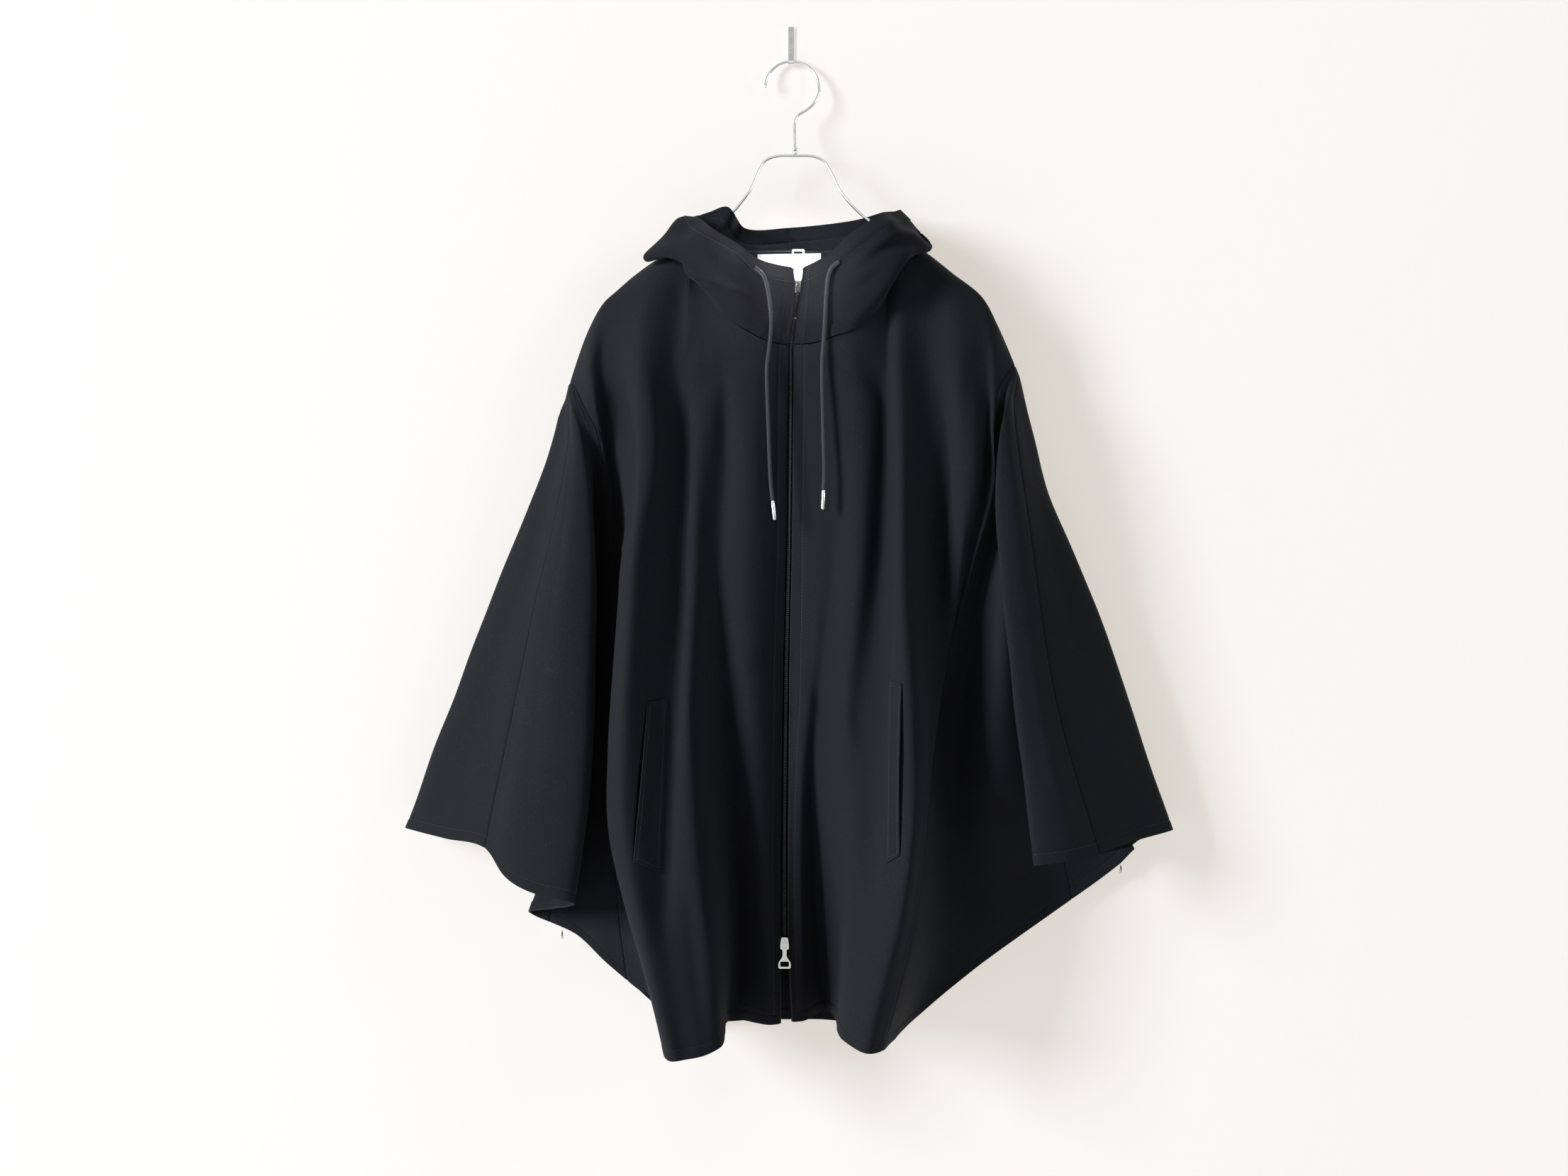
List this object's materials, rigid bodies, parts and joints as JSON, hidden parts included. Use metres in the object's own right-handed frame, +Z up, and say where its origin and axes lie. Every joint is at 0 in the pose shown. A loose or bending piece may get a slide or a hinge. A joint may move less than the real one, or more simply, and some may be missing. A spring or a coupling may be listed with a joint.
{
  "type": "hooded zip poncho on a wire hanger",
  "caption": "Black hooded poncho with wing sleeves, two-way front zip, zipped sides, pocket welts and drawcords, hung on a wire hanger from a small wall hook.",
  "frame": {"origin": "middle of the back face of the wall hook's plate, where it meets the wall, level with the top of the hook's bend region", "axes": "+Z up, -Y out from the wall towards the viewer (the garment's front), +X to the viewer's right"},
  "size_m": [0.8149, 0.164, 1.0776],
  "materials": {
    "cloth": "matte heavy double knit",
    "tape": "matte woven tape and moulded teeth",
    "cord": "matte braided cord",
    "nickel": "polished nickel plate",
    "chrome": "polished"
  },
  "bodies": {
    "poncho": {"back": "cloth", "front_left": "cloth", "front_right": "cloth", "side_left": "cloth", "side_right": "cloth", "sleeve_front_left": "cloth", "sleeve_front_right": "cloth", "sleeve_back_left": "cloth", "sleeve_back_right": "cloth", "hood_left": "cloth", "hood_right": "cloth", "pocket_welt_left": "cloth", "pocket_welt_right": "cloth", "zip_tape_left": "tape", "zip_tape_right": "tape", "zip_chain": "tape", "side_zip_left": "tape", "side_zip_right": "tape", "label": "tape", "drawcord_left": "cord", "drawcord_right": "cord", "aglet_left": "nickel", "aglet_right": "nickel", "slider_top": "nickel", "slider_bottom": "nickel", "side_slider_left": "nickel", "side_slider_right": "nickel", "hanger_arms": "chrome", "hanger_hook": "chrome", "wall_hook": "chrome"},
    "pull_top": {"pull_top": "nickel"},
    "pull_bottom": {"pull_bottom": "nickel"},
    "side_pull_left": {"side_pull_left": "nickel"},
    "side_pull_right": {"side_pull_right": "nickel"}
  },
  "joints": [
    {"name": "top_pull_swing", "type": "hinge", "parent": "poncho", "child": "pull_top", "pos_m": [0.00664, -0.1033, -0.2617], "axis": [1, 0, 0], "range_deg": [0, 170]},
    {"name": "bottom_pull_swing", "type": "hinge", "parent": "poncho", "child": "pull_bottom", "pos_m": [-0.00741, -0.06664, -0.95591], "axis": [1, 0, 0], "range_deg": [-170, 0]},
    {"name": "side_pull_left_swing", "type": "hinge", "parent": "poncho", "child": "side_pull_left", "pos_m": [-0.24447, -0.01921, -0.94094], "axis": [0, 1, 0], "range_deg": [0, 160]},
    {"name": "side_pull_right_swing", "type": "hinge", "parent": "poncho", "child": "side_pull_right", "pos_m": [0.35143, -0.0183, -0.87113], "axis": [0, 1, 0], "range_deg": [-160, 0]}
  ]
}
